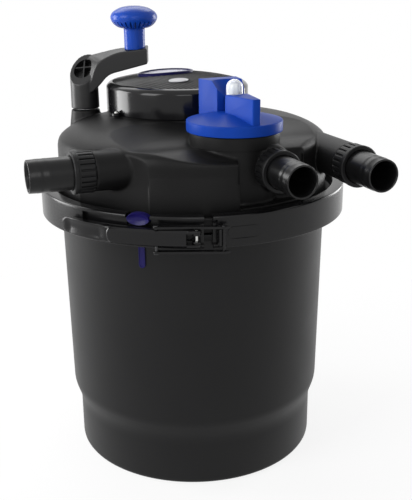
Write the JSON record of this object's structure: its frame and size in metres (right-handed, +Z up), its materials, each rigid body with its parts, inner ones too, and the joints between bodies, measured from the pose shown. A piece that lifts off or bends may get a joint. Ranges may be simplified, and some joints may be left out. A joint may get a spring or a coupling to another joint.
{
  "type": "uv pond filter",
  "caption": "Pressure pond filter with clamped lid, hose ports, selector valve, built-in UV clarifier and a cleaning crank that turns the foam carrier.",
  "frame": {"origin": "centre of the canister's flat bottom, on the floor", "axes": "+Z up along the canister's axis, -X along the left hose port, -Y along the front and right hose ports"},
  "size_m": [0.4345, 0.4515, 0.588],
  "materials": {
    "black_satin": "satin moulded, near black",
    "black_grain": "fine moulded grain, black",
    "black_gloss": "gloss black",
    "valve_blue": "satin blue",
    "crank_blue": "gloss blue",
    "index_blue": "dark blue gloss",
    "steel": "stainless steel",
    "rubber": "black rubber",
    "clear": "clear",
    "white_plastic": "white",
    "natural_plastic": "uncoloured",
    "foam_blue": "coarse open foam",
    "foam_black": "fine open foam",
    "media": "net bag of loose carrier rings"
  },
  "bodies": {
    "filter_body": {"canister": "black_satin", "clamp_band": "black_satin", "index_strip": "index_blue", "lid_index_tab": "index_blue", "fulcrum_pin": "steel", "lid": "black_grain", "lid_seal": "rubber", "left_port_seal": "rubber", "front_port_seal": "rubber", "right_port_seal": "rubber", "hose_tail_left": "black_satin", "hose_tail_front": "black_satin", "hose_tail_right": "black_satin", "valve_collar": "black_satin", "valve_stem_seal": "rubber", "uv_housing": "black_gloss", "uv_top_grille": "black_satin", "quartz_sleeve": "clear", "lamp_holder": "white_plastic", "uv_lamp": "white_plastic", "sleeve_nut": "black_satin", "sleeve_seal": "rubber", "ballast": "black_satin", "cable_gland": "black_satin", "crank_bush": "white_plastic", "shaft_seal": "rubber", "media_grid": "black_satin", "bio_media_bag": "media", "housing_screw_left": "steel", "housing_screw_right": "steel", "housing_screw_rear": "steel", "badge_plate": "index_blue", "indicator_window": "clear"},
    "valve": {"valve_knob": "valve_blue", "valve_rotor": "natural_plastic", "sight_dome": "clear", "sight_core": "white_plastic"},
    "crank": {"crank_arm": "black_satin", "crank_shaft": "steel", "crank_pinion": "white_plastic", "knob_axle": "steel"},
    "crank_grip": {"crank_knob": "crank_blue"},
    "media_carrier": {"carrier_gear": "natural_plastic", "carrier_base": "natural_plastic", "carrier_tube": "natural_plastic", "foam_ring_1": "foam_blue", "foam_ring_2": "foam_black", "foam_ring_3": "foam_blue"},
    "lever": {"latch_lever": "black_satin", "link_pin": "steel"},
    "link": {"latch_link": "black_satin"},
    "nut_left": {"union_nut_left": "black_satin"},
    "nut_front": {"union_nut_front": "black_satin"},
    "nut_right": {"union_nut_right": "black_satin"}
  },
  "joints": [
    {"name": "valve_turn", "type": "hinge", "parent": "filter_body", "child": "valve", "pos_m": [0.012, -0.115, 0.4505], "axis": [0, 0, 1], "range_deg": [0, 180]},
    {"name": "crank_turn", "type": "hinge", "parent": "filter_body", "child": "crank", "pos_m": [-0.118, 0.1, 0.4548], "axis": [0, 0, 1], "continuous": true},
    {"name": "grip_spin", "type": "hinge", "parent": "crank", "child": "crank_grip", "pos_m": [-0.05222, 0.07606, 0.56], "axis": [0, 0, 1], "continuous": true},
    {"name": "carrier_turn", "type": "hinge", "parent": "filter_body", "child": "media_carrier", "pos_m": [0, 0, 0.352], "axis": [0, 0, 1], "continuous": true},
    {"name": "lever_swing", "type": "hinge", "parent": "filter_body", "child": "lever", "pos_m": [-0.06746, -0.19591, 0.34775], "axis": [0, 0, 1], "range_deg": [0, 150]},
    {"name": "link_swing", "type": "hinge", "parent": "lever", "child": "link", "pos_m": [-0.10868, -0.17735, 0.34775], "axis": [0, 0, 1], "range_deg": [-150, 0]},
    {"name": "nut_left_turn", "type": "hinge", "parent": "filter_body", "child": "nut_left", "pos_m": [-0.1595, -0.1, 0.412], "axis": [-1, 0, 0], "continuous": true},
    {"name": "nut_front_turn", "type": "hinge", "parent": "filter_body", "child": "nut_front", "pos_m": [0.039, -0.1675, 0.412], "axis": [0, -1, 0], "continuous": true},
    {"name": "nut_right_turn", "type": "hinge", "parent": "filter_body", "child": "nut_right", "pos_m": [0.135, -0.1765, 0.412], "axis": [0, -1, 0], "continuous": true}
  ],
  "couplings": [
    {"joint": "crank_turn", "follows": "carrier_turn", "ratio": -11.5},
    {"joint": "link_swing", "follows": "lever_swing", "ratio": -1}
  ]
}
